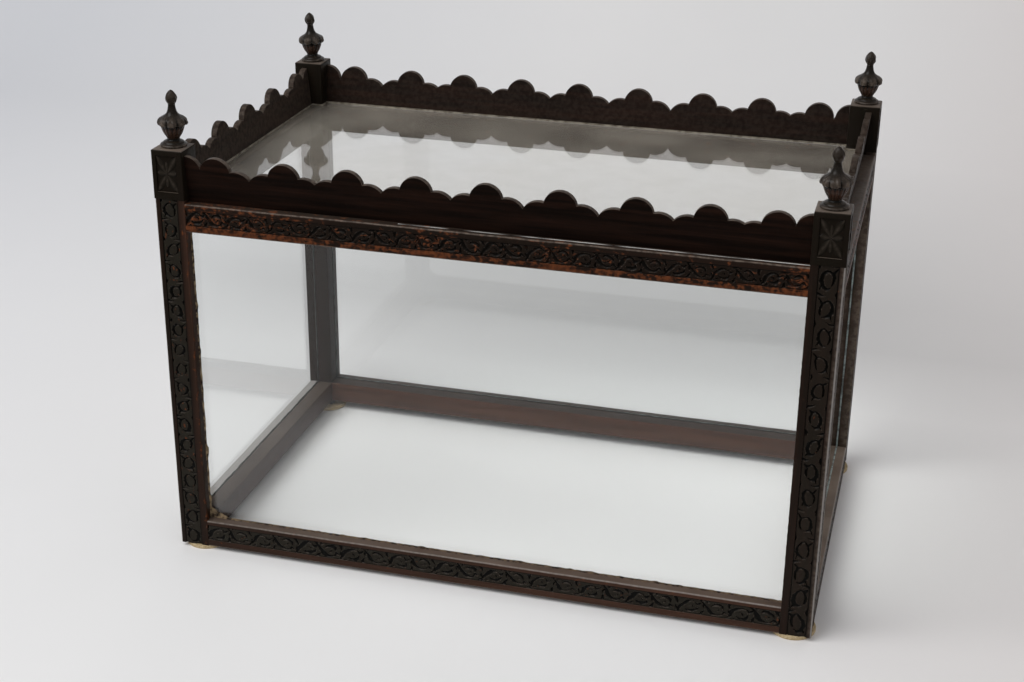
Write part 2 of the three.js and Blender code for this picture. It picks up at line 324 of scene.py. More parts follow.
def hand_over(piece, material, node, angle=35):
    """Gives a finished piece its material, hangs it from the root body and hides the CAD node that it
    stands for.
    """
    only(piece)
    bpy.ops.object.shade_smooth_by_angle(angle=math.radians(angle))
    coat(piece, material)
    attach(piece, "root")
    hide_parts(node)


def hand_over_wood(piece, kind, axis, node, angle=35):
    """Hands over a wooden piece, with its grain along an axis."""
    name = f"aged {kind} along {'xyz'[axis]}"
    material = aged_wood(name, bpy.context.scene.case.wood, kind, axis)
    hand_over(piece, material, node, angle)


def quarter_turns(turns, axis="Z"):
    return Matrix.Rotation(turns * math.pi / 2, 4, axis)


def turned_to_side(side):
    """Takes a piece made for the front, with its outer face on Y = 0, to a side of the case."""
    turns = SIDES[side]
    reach = (HALF_DEPTH, HALF_WIDTH)[turns % 2]
    return quarter_turns(turns) @ Matrix.Translation((0, -reach, 0))


def turned_to_corner(corner, x, y, height):
    """Takes a piece made round the Z axis for the front-left corner to a corner of the case."""
    turns = CORNERS[corner]
    sign_x = 1 if turns in (1, 2) else -1
    sign_y = 1 if turns in (2, 3) else -1
    return Matrix.Translation((sign_x * x, sign_y * y, height)) @ quarter_turns(turns)


def drift(value, seed, size):
    """Slow wandering between -1 and 1 along a length, as on hand-planed wood."""
    return noise.noise(Vector((value / size, seed * 7.31, seed * 3.17)))


def drawn_out(name, places, shift):
    """A closed solid: a flat outline that is extruded."""
    solid = start(bpy.ops.mesh.primitive_circle_add, name, vertices=len(places), fill_type="NGON")
    move_points(solid, np.array(places))
    edit(solid, "SELECT")
    pull(shift)
    return solid


def bar_along_x(name, outline, run, cuts, arrises=()):
    """A bar from its outline in the YZ plane, divided into short lengths.

    Each of the arrises is a width of rounding and the corners of the outline that it is for.
    """
    bar = drawn_out(name, [(0, y, z) for y, z in outline], (run, 0, 0))
    for width, corners in arrises:
        def on_corner(first, second):
            if abs(first[0] - second[0]) < TOUCH:
                return False
            return any(math.hypot(first[1] - y, first[2] - z) < TOUCH for y, z in corners)

        bevel(bar, on_corner, width)
    outward(bar)
    select_edges(bar, lambda first, second: abs(first[0] - second[0]) > TOUCH)
    bpy.ops.mesh.subdivide_edgering(number_cuts=cuts, interpolation="LINEAR", smoothness=0)
    close()
    return bar


def flat_grid(name, run, width, spacing):
    """A fine grid that lies flat, and its points: length along X, width along Y."""
    grid = start(
        bpy.ops.mesh.primitive_grid_add, name, size=1,
        x_subdivisions=round(run / spacing), y_subdivisions=round(width / spacing),
    )
    return grid, points_of(grid) * (run, width, 1)


def carved(grid, places, cut, painted_highlight, thickness):
    """Carves a grid, marks it, and gives it sides and a flat back."""
    move_points(grid, places)
    mark(grid, "band", 1)
    mark(grid, "cut", cut)
    mark(grid, "painted_highlight", painted_highlight)
    edit(grid, "DESELECT", "EDGE")
    bpy.ops.mesh.select_non_manifold()
    bpy.ops.mesh.extrude_edges_move(TRANSFORM_OT_translate={"value": (0, 0, -thickness)})
    bpy.ops.mesh.edge_face_add()
    close()
    outward(grid)
    return grid


# The carver's cuts, in units along a band, turned over in every second one: a ring with small
# cuts in the gap after it. Every cut is a row of (along, across, half width), as shares of the
# band's half width: those of a ring from its middle, those of a gap from the end of the unit.
# Along the band they are drawn out by the length of the unit.
RING_STRETCH = 1 / 2.3
CUT_WIDTH_SHARE = 1.02
VINE = (
    [
        [(-1.4, -0.9, 0.02), (-1.08, -0.6, 0.12), (-0.86, -0.14, 0.21), (-0.66, 0.24, 0.25),
         (-0.36, 0.54, 0.2), (0.02, 0.66, 0.13), (0.38, 0.54, 0.09), (0.6, 0.22, 0.05)],
        [(0.64, -0.08, 0.03), (0.52, -0.4, 0.16), (0.2, -0.6, 0.23), (-0.16, -0.58, 0.15),
         (-0.42, -0.36, 0.02)],
        [(0.62, 0.26, 0.18), (1.0, 0.56, 0.02)],
        [(-0.14, 0.16, 0.02), (0.12, 0.04, 0.07), (0.22, -0.16, 0.02)],
        [(-0.52, -0.84, 0.02), (-0.7, -0.78, 0.12), (-0.86, -0.9, 0.02)],
    ],
    [
        [(-0.16, -0.98, 0.23), (-0.08, -0.62, 0.15), (0.06, -0.28, 0.02)],
        [(-0.5, 0.96, 0.02), (-0.12, 0.92, 0.18), (0.32, 0.96, 0.02)],
        [(0.14, 0.6, 0.02), (0.0, 0.26, 0.12), (-0.02, -0.06, 0.02)],
    ],
)
RINGS = (
    [
        [(-0.6, 0.3, 0.04), (-0.7, -0.02, 0.12), (-0.56, -0.36, 0.19), (-0.16, -0.6, 0.22),
         (0.3, -0.54, 0.17), (0.62, -0.24, 0.12), (0.7, 0.1, 0.1), (0.54, 0.42, 0.12),
         (0.18, 0.6, 0.14), (-0.22, 0.56, 0.11), (-0.46, 0.42, 0.04)],
        [(0.56, 0.46, 0.17), (0.86, 0.8, 0.06)],
        [(-0.5, -0.5, 0.12), (-0.86, -0.7, 0.02)],
    ],
    [
        [(0.02, 1.0, 0.15), (0.0, 0.62, 0.12), (0.04, 0.2, 0.02)],
        [(-0.3, -0.96, 0.02), (0.0, -0.9, 0.16), (0.3, -0.96, 0.02)],
    ],
)


def vine_depth(along, across, unit, half, pattern, seed):
    """Depth of the carver's cuts, 0 to 1, at places along and across a band."""
    cell = np.floor(along / unit)
    depth = np.zeros_like(along)
    turn = 2 * math.pi * along / unit
    along = along + 0.035 * unit * np.sin(0.37 * turn + 4 * across / half + seed)
    across = across + 0.07 * half * np.sin(0.81 * turn + 3 * seed)
    rings, gaps = pattern
    for neighbour in (-1, 0, 1):
        leaf = cell + neighbour
        side = np.where(leaf % 2 == 0, 1.0, -1.0)
        size = half * (1 + 0.08 * np.sin(leaf * 12.9 + seed))
        stretch = size / half * unit * RING_STRETCH
        stray = 0.08 * np.sin(leaf * 7.7 + 2 * seed)
        chisel = CUT_WIDTH_SHARE * (1 + 0.22 * np.sin(leaf * 5.3 + seed))
        for cuts, place_share in ((rings, 0.5), (gaps, 1.0)):
            s = (along - (leaf + place_share) * unit) / stretch + stray
            t = across * side / size
            for cut in cuts:
                for (s0, t0, w0), (s1, t1, w1) in zip(cut, cut[1:]):
                    ds, dt = s1 - s0, t1 - t0
                    share = np.clip(((s - s0) * ds + (t - t0) * dt) / (ds ** 2 + dt ** 2), 0, 1)
                    away = np.hypot(s - s0 - share * ds, t - t0 - share * dt)
                    width = chisel * (w0 + share * (w1 - w0))
                    depth = np.maximum(depth, np.clip(1.7 - 1.7 * away / width, 0, 1))
    return depth


def vine_band(name, run, width, unit, pattern, carving, seed):
    """A carved strip lying on its back: length along X, width along Y, face up at Z = 0."""
    band, places = flat_grid(name, run, width, carving.spacing)
    half = width / 2
    units = max(1, round(run / unit))
    along = places[:, 0] + run / 2
    lift = np.sin(along / (2.7 * unit) + 2 * seed) * 0.05 * half
    depth = vine_depth(along, places[:, 1] + lift, run / units, half, pattern, seed)
    edge = np.clip((half - np.abs(places[:, 1])) / ROUNDING, 0, 1)
    places[:, 2] = -carving.depth * depth * np.minimum(1, edge * 1.5) - 0.25 * MM * (1 - edge)
    # Painted shade: the cuts and the sunk edges of the band are coloured nearly black
    cut = np.maximum(depth, 0.8 * (1 - edge))
    # Painted highlight along the rims of the cuts
    painted_highlight = 0.65 * np.clip(1 - np.abs(depth - 0.1) / 0.1, 0, 1) * (edge > 0.9)
    return carved(band, places, cut, painted_highlight, carving.recess - carving.sink - 0.1 * MM)


def basis(along, across, out, origin):
    """A move that takes X, Y and Z to three directions and the origin to a place."""
    matrix = Matrix.Identity(4)
    for column, axis in enumerate((along, across, out, origin)):
        for row in range(3):
            matrix[row][column] = axis[row]
    return matrix


def stood_up(origin):
    """Stands up a strip that lies on its back, so that it faces the front."""
    return basis((1, 0, 0), (0, 0, 1), (0, -1, 0), origin)


# Rails and posts


def rail_outline(low, high, margins, recess, top_rail, rebated):
    """Section of a rail as (in from the outer face, height), with a recess for the band."""
    lower = low + margins[0]
    upper = high - margins[1]
    outline = [(0, low), (0, lower), (recess, lower), (recess, upper), (0, upper), (0, high)]
    face, toward = (low, 1) if top_rail else (high, -1)
    floor = face + toward * (REBATE_WIDTH if rebated else GROOVE_DEPTH)
    bed = [
        (GROOVE_NEAR, face), (GROOVE_NEAR, floor), (GROOVE_FAR, floor), (GROOVE_FAR, face),
        (POST_SIDE, face),
    ]
    if rebated:
        bed = [(PANE_SETBACK, face), (PANE_SETBACK, floor), (POST_SIDE, floor)]
    if top_rail:
        return outline + [(POST_SIDE, high)] + bed[::-1]
    near, top = POST_SIDE - FOOT_CUT_DEPTH, low + FOOT_CUT_HEIGHT
    return outline + bed + [(POST_SIDE, top), (near, top), (near, low)]


def wear_bar(bar, seed, low, high):
    """Lets the faces wander a little and marks a painted highlight along the outer arrises."""
    places = points_of(bar)
    painted_highlight = np.zeros(len(places))
    for index, (x, y, z) in enumerate(places):
        near = min(z - low, high - z)
        painted_highlight[index] = SKIN < y < ROUNDING and near < ROUNDING
        outer = max(0.0, 1 - y / (4 * MM))
        places[index, 1] += outer * 0.12 * MM * (1 + drift(x, seed, 0.03))
        if z > high - 1.2 * MM:
            worn = 0.25 * MM * (1 + drift(x, seed + 3, 0.02)) * outer
            places[index, 2] -= worn
    move_points(bar, places)
    mark(bar, "painted_highlight", painted_highlight)


def make_rail(name, run, low, high, margins, unit, top_rail, rebated, carving, seed):
    lower_margin, upper_margin = margins
    outline = rail_outline(low, high, margins, carving.recess, top_rail, rebated)
    inner = (low, low + FOOT_CUT_HEIGHT, low + REBATE_WIDTH, high - REBATE_WIDTH, high)
    bar = bar_along_x(name, outline, run, round(run / BAR_STEP), (
        (carving.arris, [(0, low), (0, high)]),
        (carving.inner_arris, [(POST_SIDE, z) for z in inner]),
    ))
    move_points(bar, points_of(bar) - (run / 2, 0, 0))
    wear_bar(bar, seed, low, high)
    width = high - low - lower_margin - upper_margin
    band = vine_band(name + "-band", run, width, unit, VINE, carving, seed)
    middle = (low + lower_margin + high - upper_margin) / 2
    place(band, stood_up((0, carving.sink, middle)))
    return join([bar, band], name)


# For each rail: how much less dust and painted sheen lies on its ledges, how red its inner and its
# outer face, how strong the painted sheen on its outer ledge, the general wear, and the worn patches
# as (middle as a share of the length, half length as a share, wear)
AGE = {
    ("top-rail", "front"): (0.52, 0, 0, 0, 0.12, [(-0.5, 0.26, 0.4), (-0.09, 0.05, 0.35),
                                                 (0.12, 0.05, 0.35), (0.49, 0.04, 0.5)]),
    ("top-rail", "right"): (0, 0, 0, 0, 0.1, [(-0.2, 0.2, 0.4)]),
    ("top-rail", "back"): (0.42, 0, 0, 0, 0.1, [(0.3, 0.1, 0.4)]),
    ("top-rail", "left"): (0.3, 0, 0, 0, 0.1, [(0.35, 0.2, 0.4)]),
    ("bottom-rail", "front"): (0.1, 0.35, 0.6, 0, 0.1, [(0.2, 0.15, 0.15), (0.48, 0.04, 0.3)]),
    ("bottom-rail", "right"): (0, 0.5, 0.3, 0, 0.1, [(-0.3, 0.15, 0.3)]),
    ("bottom-rail", "back"): (0.5, 0.9, 0.2, 0, 0, []),
    ("bottom-rail", "left"): (0.2, 0.5, 0.2, 0.42, 0, []),
}


def mark_age(rail, run, low, high, age, top_rail, lower_margin):
    clean, red, warm, pale, general, patches = age
    x, y, z = points_of(rail).T
    outer = y < 2 * MM
    amount = np.full(len(x), general)
    for centre, reach, more in patches:
        amount += more * np.clip(1.4 - 1.4 * np.abs(x / run - centre) / reach, 0, 1)
    if top_rail:
        amount += 0.55 * (z < low + lower_margin)
    mark(rail, "age", np.clip(amount * outer, 0, 1))
    # Less dust and painted sheen on the ledges of some sides
    mark(rail, "clean", clean)
    inner = y > POST_SIDE - 0.1 * MM
    near = y < PANE_SETBACK + 0.1 * MM
    mark(rail, "red", red * inner + warm * near * np.clip(0.8 + 0.8 * x / run, 0, 1))
    # Painted highlight, near white, on the upper outer arris of the bottom rails, and painted sheen
    # on the outer ledge by the glass
    upper_arris = (marks_of(rail, "painted_highlight") > 0.9) * (z > (low + high) / 2)
    arris_highlight = (0 if top_rail else 0.1 + 0.08 * x / run) * upper_arris
    mark(rail, "pale", np.maximum(arris_highlight, pale * near * (y > MM) * (z > high - 0.6 * MM)))


class CASE_OT_rails(bpy.types.Operator):
    """Builds the eight carved rails"""

    bl_idname = "case.rails"
    bl_label = "Rails"

    def execute(self, context):
        carving = context.scene.case.carving
        kinds = {
            "top-rail": (top_rail_low[2], top_rail_high[2], carving.top_unit, True,
                         (carving.top_lower_margin, carving.top_upper_margin)),
            "bottom-rail": (foot_rail_low[2], foot_rail_high[2], carving.foot_unit, False,
                            (carving.foot_lower_margin, carving.foot_upper_margin)),
        }
        for kind, (low, high, unit, top_rail, margins) in kinds.items():
            for side, turns in SIDES.items():
                half_span = (HALF_WIDTH, HALF_DEPTH)[turns % 2]
                run = 2 * (half_span - POST_SIDE)
                rail = make_rail(
                    f"carved-{kind}-{side}", run, low, high, margins, unit, top_rail,
                    side == "front", carving, turns + low * 10,
                )
                mark_age(rail, run, low, high, AGE[kind, side], top_rail, margins[0])
                place(rail, turned_to_side(side))
                hand_over_wood(rail, kind, turns % 2, f"{kind}-{side}")
        return {"FINISHED"}


def post_outline(carving, rebated_x, rebated_y):
    """Section of a post as (in from one outer face, in from the next outer face)."""
    near = carving.post_outer_margin
    far = POST_SIDE - carving.post_inner_margin
    floor = POST_SIDE - GROOVE_DEPTH
    core = POST_SIDE - REBATE_WIDTH
    face = [(near, 0), (near, carving.recess), (far, carving.recess), (far, 0), (POST_SIDE, 0)]
    groove = [(POST_SIDE, GROOVE_NEAR), (floor, GROOVE_NEAR), (floor, GROOVE_FAR),
              (POST_SIDE, GROOVE_FAR)]
    rebate = [(POST_SIDE, PANE_SETBACK), (core, PANE_SETBACK), (core, POST_SIDE)]
    corner = [] if rebated_x or rebated_y else [(POST_SIDE, POST_SIDE)]
    one_half = [(0, 0)] + face + (rebate if rebated_x else groove) + corner
    other_half = face + (rebate if rebated_y else groove)
    return one_half + [(second, first) for first, second in reversed(other_half)]


class CASE_OT_posts(bpy.types.Operator):
    """Builds the four carved posts"""

    bl_idname = "case.posts"
    bl_label = "Posts"

    def execute(self, context):
        carving = context.scene.case.carving
        low, high = post_low[2], post_high[2]
        near = carving.post_outer_margin
        far = POST_SIDE - carving.post_inner_margin
        centre = POST_SIDE / 2
        middle = (near + far) / 2 - centre
        face = carving.sink - centre
        halfway = (low + high) / 2
        for corner, unit in (
            ("front-left", carving.close_post_unit), ("front-right", carving.wide_post_unit),
            ("back-right", carving.close_post_unit), ("back-left", carving.wide_post_unit),
        ):
            seed = 1 + CORNERS[corner]
            bar = self.bar(carving, corner, high - low, far, seed)
            place(bar, basis((0, 0, 1), (1, 0, 0), (0, 1, 0), (-centre, -centre, low)))
            front = vine_band("front-band", high - low, far - near, unit, RINGS, carving, seed)
            mark(front, "age", 0.3 if corner == "front-left" else 0)
            if corner == "front-right":
                mark(front, "band", 0.5)
            left = copy_of(front, "left-band")
            place(front, basis((0, 0, 1), (-1, 0, 0), (0, -1, 0), (middle, face, halfway)))
            place(left, basis((0, 0, 1), (0, 1, 0), (-1, 0, 0), (face, middle, halfway)))
            post = join([bar, front, left], f"carved-post-{corner}")
            place(post, turned_to_corner(corner, HALF_WIDTH - centre, HALF_DEPTH - centre, 0))
            self.paint_right_side_sheen(post)
            hand_over_wood(post, "post", 2, f"post-{corner}")
        return {"FINISHED"}

    def bar(self, carving, corner, run, far, seed):
        """The plain post, lying along X, with its wear and its painted highlights."""
        outline = post_outline(carving, corner == "front-left", corner == "front-right")
        bar = bar_along_x(f"post-{corner}-bar", outline, run, round(run / BAR_STEP), (
            (carving.arris, [(0, 0)]),
            (carving.inner_arris, [(POST_SIDE, 0), (0, POST_SIDE), (POST_SIDE, POST_SIDE)]),
        ))
        places = points_of(bar)
        painted_highlight = np.zeros(len(places))
        for index, (x, y, z) in enumerate(places):
            # Painted highlight on the rounded edges
            painted_highlight[index] = 0.6 * (min(y, z) > SKIN and max(y, z) < ROUNDING)
            worn = 0.1 * MM * (1 + drift(x, seed, 0.04))
            places[index, 1] += worn if y < 2 * MM else 0
            places[index, 2] += worn if z < 2 * MM else 0
        move_points(bar, places)
        mark(bar, "painted_highlight", painted_highlight)
        by_glass = np.clip((places[:, 1:].max(axis=1) - far) / (POST_SIDE - far) * 3, 0, 1)
        by_glass *= places[:, 1:].min(axis=1) < PANE_SETBACK
        by_glass *= corner == "front-left"
        upper = np.clip((places[:, 0] / run - 0.25) * 3, 0, 1)
        mark(bar, "age", 0.5 * by_glass)
        mark(bar, "red", by_glass * (0.1 + 0.35 * upper))
        # Painted highlight, near white, on the arrises of the front-right post
        if corner == "front-right":
            mark(bar, "pale", 0.3 * (painted_highlight > 0))
        return bar

    def paint_right_side_sheen(self, post):
        """Marks a painted sheen on the faces on the right-hand side of the case."""
        outer = points_of(post)[:, 0] > HALF_WIDTH - 1.5 * MM
        mark(post, "painted_highlight", np.maximum(marks_of(post, "painted_highlight"), 0.6 * outer))


# Corner blocks


def petal_height(across, up, half_width, half_height):
    """Relief of eight petals round the middle of a panel, 0 to 1."""
    height = np.zeros_like(across)
    diagonal = math.atan2(half_height, half_width)
    reach = math.hypot(half_width, half_height)
    slanting = (diagonal, math.pi - diagonal, -diagonal, diagonal - math.pi)
    petals = [(angle, 0.97 * reach, 0.27) for angle in slanting] + [
        (0.12, 0.95 * half_width, 0.26), (math.pi - 0.12, 0.95 * half_width, 0.26),
        (math.pi / 2, 0.7 * half_height, 0.18), (-math.pi / 2, 0.75 * half_height, 0.2),
    ]
    for angle, petal_length, width_share in petals:
        along = across * math.cos(angle) + up * math.sin(angle)
        aside = np.abs(up * math.cos(angle) - across * math.sin(angle))
        share = np.clip(along / petal_length, 0, 1)
        width = 1e-6 + width_share * half_width * 1.5 * np.sin(math.pi * share ** 1.3) ** 0.7
        ridge = np.clip(1 - (aside / width) ** 1.3, 0, 1)
        height = np.maximum(height, ridge * (along > 0) * (along < petal_length))
    return height


class CASE_OT_blocks(bpy.types.Operator):
    """Builds the four corner blocks with a carved field on each outer face"""

    bl_idname = "case.blocks"
    bl_label = "Corner blocks"

    def execute(self, context):
        side = block_size[0]
        tall = block_high[2] - block_low[2]
        field_width = 15.4 * MM
        field_low = 5.2 * MM
        field_high = 31 * MM
        field_shift = 0.4 * MM
        field_depth = 0.9 * MM
        top_edge = 1.3 * MM
        upright_edge = 0.7 * MM
        sink = 1.1 * MM
        block = start(bpy.ops.mesh.primitive_cube_add, "block-model", size=1)
        move_points(block, points_of(block) * (side, side, tall) + (0, 0, tall / 2))
        bevel(block, lambda a, b: a[2] > tall - TOUCH and b[2] > tall - TOUCH, top_edge)
        bevel(block, lambda a, b: abs(a[2] - b[2]) > tall / 2, upright_edge, 2)
        for axis in (0, 1):
            self.sink_field(block, axis, field_width / 2, (field_low, field_high), field_shift, sink)
        # Painted highlight along the top edges
        mark(block, "painted_highlight", 0.6 * (points_of(block)[:, 2] > tall - 0.2 * MM))
        outward(block)
        field_tall = field_high - field_low
        field, places = flat_grid("field", field_width, field_tall, 0.4 * MM)
        height = petal_height(places[:, 0], places[:, 1], field_width / 2, field_tall / 2)
        places[:, 2] = field_depth * (height - 1)
        # Painted shade on the sunk ground between the petals, and painted highlight on the petal
        # ridges
        cut = 0.75 * (1 - np.clip(3 * height, 0, 1))
        carved(field, places, cut, 0.2 * np.clip(height * 2 - 1, 0, 1), 0.6 * MM)
        middle = (field_low + field_high) / 2
        face = sink + 0.15 * MM - side / 2 - field_depth
        left = copy_of(field, "left-field")
        place(field, stood_up((-field_shift, face, middle)))
        place(left, basis((0, -1, 0), (0, 0, 1), (-1, 0, 0), (face, -field_shift, middle)))
        model = join([block, field, left], "block-model")
        x, y, _ = (block_low + block_high) / 2
        for corner in CORNERS:
            piece = copy_of(model, f"carved-block-{corner}")
            place(piece, turned_to_corner(corner, -x, -y, block_low[2]))
            hand_over_wood(piece, "block", 2, f"corner-block-{corner}", angle=30)
        bpy.data.objects.remove(model)
        return {"FINISHED"}

    def sink_field(self, block, axis, half_field, heights, shift, sink):
        """Insets one outer face of the block and pushes the inset face in."""
        edit(block, "DESELECT", "FACE")
        close()
        face = min(block.data.polygons, key=lambda f: f.center[axis] - (f.area * 1e-3))
        face.select = True
        block.data.polygons.active = face.index
        bpy.ops.object.mode_set(mode="EDIT")
        bpy.ops.mesh.inset(thickness=2 * MM, depth=0)
        close()
        inner = [f for f in block.data.polygons if f.select][0]
        other = 1 - axis
        for index in inner.vertices:
            spot = block.data.vertices[index].co
            spot[other] = (half_field if spot[other] > 0 else -half_field) - shift
            spot[2] = heights[spot[2] > sum(heights) / 2]
        bpy.ops.object.mode_set(mode="EDIT")
        step = [0, 0, 0]
        step[axis] = sink
        pull(tuple(step))


# Scallops of the boards as shares of the pitch of their lobes, and how far each lobe is shifted
LOBE_RADIUS_SHARE = 0.2333
END_LOBE_SHARE = 0.43
SHOULDER_RADIUS_SHARE = 0.26
SHOULDER_PLACE_SHARE = 0.3
SHOULDER_DROP_SHARE = 0.18
LOBE_SHIFT_SHARES = {
    "front": (0.02, 0.054, 0.006, 0.008, 0.012, 0.052, 0.1, 0.09, -0.02),
    "back": (0.056, -0.027, -0.067, -0.006, -0.002, -0.01, -0.008, -0.075, -0.054),
    "right": (0, 0, 0, 0, 0),
    "left": (0, 0, 0, 0, 0),
}


def scallops(run, tall, shifts, steps):
    """Outline of a board from its lower left corner: big lobes with low shoulders between."""
    lobes = len(shifts)
    pitch = run / (lobes - 1 + 2 * END_LOBE_SHARE)
    radius = pitch * LOBE_RADIUS_SHARE
    lobe_height = tall - radius
    shoulder = pitch * SHOULDER_RADIUS_SHARE
    aside = pitch * SHOULDER_PLACE_SHARE
    shoulder_height = tall - pitch * SHOULDER_DROP_SHARE - shoulder
    between = math.hypot(aside, lobe_height - shoulder_height)
    slope = math.atan2(shoulder_height - lobe_height, aside)
    reach = (between ** 2 + radius ** 2 - shoulder ** 2) / (2 * between)
    lobe_notch = slope + math.acos(reach / radius)
    shoulder_notch = slope + math.pi - math.acos((between - reach) / shoulder)
    centres = [(lobe - (lobes - 1) / 2 + share) * pitch for lobe, share in enumerate(shifts)]
    points = [(-run / 2, 0), (run / 2, 0), (run / 2, tall)]

    def arc(x, z, size, begin, end):
        for step in range(1, steps + 1):
            angle = begin + (end - begin) * step / steps
            points.append((x + size * math.cos(angle), z + size * math.sin(angle)))

    def end_valley(gap):
        return math.acos(min(1, gap / 2 / radius))

    def valley(gap):
        return math.acos(min(1, (gap / 2 - aside) / shoulder))

    right_end = end_valley(run / 2 - centres[-1])
    left_end = end_valley(run / 2 + centres[0])
    arc(run / 2, lobe_height, radius, math.pi / 2, math.pi - right_end)
    for lobe in reversed(range(lobes)):
        here = centres[lobe]
        if lobe < lobes - 1:
            notch = valley(centres[lobe + 1] - here)
            arc(here + aside, shoulder_height, shoulder, notch, shoulder_notch)
        begin = right_end if lobe == lobes - 1 else lobe_notch
        end = math.pi - left_end if lobe == 0 else math.pi - lobe_notch
        arc(here, lobe_height, radius, begin, end)
        if lobe > 0:
            notch = math.pi - valley(here - centres[lobe - 1])
            arc(here - aside, shoulder_height, shoulder, math.pi - shoulder_notch, notch)
    arc(-run / 2, lobe_height, radius, left_end, math.pi / 2)
    return points


class CASE_OT_gallery(bpy.types.Operator):
    """Builds the four scalloped boards"""

    bl_idname = "case.gallery"
    bl_label = "Gallery boards"

    def execute(self, context):
        gallery = context.scene.case.gallery
        thickness = gallery.thickness
        for side, turns in SIDES.items():
            low, high, extent = size_of(f"gallery-board-{side}")
            across = turns % 2
            run = extent[across]
            tall = extent[2]
            back = (high[1 - across], -low[1 - across])[turns in (1, 2)]
            lean = (extent[1 - across] - thickness) / tall
            outline = scallops(run, tall, LOBE_SHIFT_SHARES[side], gallery.arc_steps)
            name = f"scalloped-board-{side}"
            board = drawn_out(name, [(x, 0, z) for x, z in outline], (0, thickness, 0))
            outward(board)

            def on_rim(first, second):
                same_face = abs(first[1] - second[1]) < 1e-6
                return same_face and min(first[2], second[2]) > TOUCH

            bevel(board, on_rim, gallery.edge, clamp_overlap=True)
            places = points_of(board)
            inside = np.minimum(places[:, 1], thickness - places[:, 1]) > SKIN
            # Painted sheen on the inner face of the boards, strongest on the left, and painted
            # highlights on the scalloped rims, of a different strength on each side
            sheen = 0.32 if side == "left" else 0.1
            painted_highlight = sheen * (places[:, 1] > thickness - SKIN)
            rim = {"left": 0.5, "right": 0.35}.get(side, 0.75) * (inside & (places[:, 2] > MM))
            mark(board, "painted_highlight", np.maximum(painted_highlight, rim))
            places[:, 1] -= lean * places[:, 2]
            places[:, 2] += low[2]
            reach = (HALF_DEPTH, HALF_WIDTH)[across]
            places[:, 1] += reach + back - thickness
            move_points(board, places)
            place(board, turned_to_side(side))
            if side == "front":
                joint = self.painted_joint_glint(run, low[1] + HALF_DEPTH, low[2])
                place(joint, turned_to_side(side))
                board = join([board, joint], name)
            hand_over_wood(board, "board", across, f"gallery-board-{side}")
        return {"FINISHED"}

    def painted_joint_glint(self, run, foot, low):
        """A pale line in the joint between a board and its rail: a painted glint of light through the
        gap.
        """
        size = 0.35 * MM
        section = [(0, 0), (0, size), (size, size), (size, 0)]
        line = bar_along_x("painted-joint-glint", section, 0.64 * run, 90)
        places = points_of(line) + (-0.14 * run, foot - size, low)
        along = places[:, 0]
        lively = np.array([drift(x, 3, 0.012) for x in along])
        mark(line, "pale", np.clip(0.4 + 1.1 * lively + 0.9 * along / run, 0, 0.9))
        move_points(line, places)
        return line


# Finials, from foot to tip: share of the height, share of the radius
FINIAL_SHARES = [
    (0, 0), (0, 0.86), (0.012, 0.9), (0.034, 0.9), (0.05, 0.86), (0.06, 0.72), (0.068, 0.7),
    (0.082, 0.69), (0.095, 0.6), (0.108, 0.45), (0.125, 0.4), (0.145, 0.41), (0.175, 0.47),
    (0.22, 0.59), (0.28, 0.69), (0.34, 0.76), (0.38, 0.8), (0.392, 0.85), (0.402, 0.92),
    (0.422, 0.98), (0.45, 1.0), (0.472, 0.97), (0.495, 0.88), (0.52, 0.73), (0.545, 0.56),
    (0.565, 0.44), (0.595, 0.35), (0.635, 0.29), (0.7, 0.24), (0.755, 0.22), (0.767, 0.26),
    (0.785, 0.335), (0.81, 0.385), (0.85, 0.405), (0.89, 0.38), (0.93, 0.31), (0.965, 0.2),
    (0.99, 0.1), (1, 0),
]
# Points along a finial's outline, and the rows above that are always among them
FINIAL_POINTS = 92
FINIAL_CORNERS = [1, 5, 6, 10, 17, 18]
# Hand-set finials: lean in degrees toward the right, and how far each stands behind the middle
FINIAL_SET = {
    "front-left": (0.6, 1.8 * MM), "front-right": (-0.4, 0.3 * MM), "back-right": (0.3, 1.4 * MM),
    "back-left": (-2.6, 0.4 * MM),
}


def finial_model(name, settings):
    """One finial, turned round the Z axis and then carved."""
    tall = finial_size[2]
    reach = finial_size[0] / 2
    shares = np.array(FINIAL_SHARES)
    run = np.concatenate(([0], np.cumsum(np.hypot(*np.diff(shares * (tall, reach), axis=0).T))))
    fine = np.linspace(0, run[-1], FINIAL_POINTS)
    fine = np.unique(np.concatenate((fine, run[FINIAL_CORNERS])))
    heights = np.interp(fine, run, shares[:, 0])
    radii = np.interp(fine, run, shares[:, 1])
    for _ in range(2):
        radii[1:-1] = 0.25 * radii[:-2] + 0.5 * radii[1:-1] + 0.25 * radii[2:]
        heights[1:-1] = 0.25 * heights[:-2] + 0.5 * heights[1:-1] + 0.25 * heights[2:]
    body = start(bpy.ops.mesh.primitive_circle_add, name, vertices=len(fine), fill_type="NOTHING")
    move_points(body, np.array([(r * reach, 0, h * tall) for r, h in zip(radii, heights)]))
    select_edges(body, lambda foot, tip: abs(foot[2] - tip[2]) > tall / 2)
    bpy.ops.mesh.delete(type="EDGE")
    bpy.ops.mesh.select_all(action="SELECT")
    bpy.ops.mesh.spin(
        steps=settings.steps, angle=2 * math.pi, center=(0, 0, 0), axis=(0, 0, 1), dupli=False
    )
    close()
    outward(body)
    carve_finial(body, settings, tall, reach)
    return body


def window(value, low, rise_end, fall_start, high):
    """Rises from 0 to 1, stays there and falls back to 0."""
    rise = np.clip((value - low) / (rise_end - low), 0, 1)
    fall = np.clip((high - value) / (high - fall_start), 0, 1)
    return np.minimum(rise, fall)


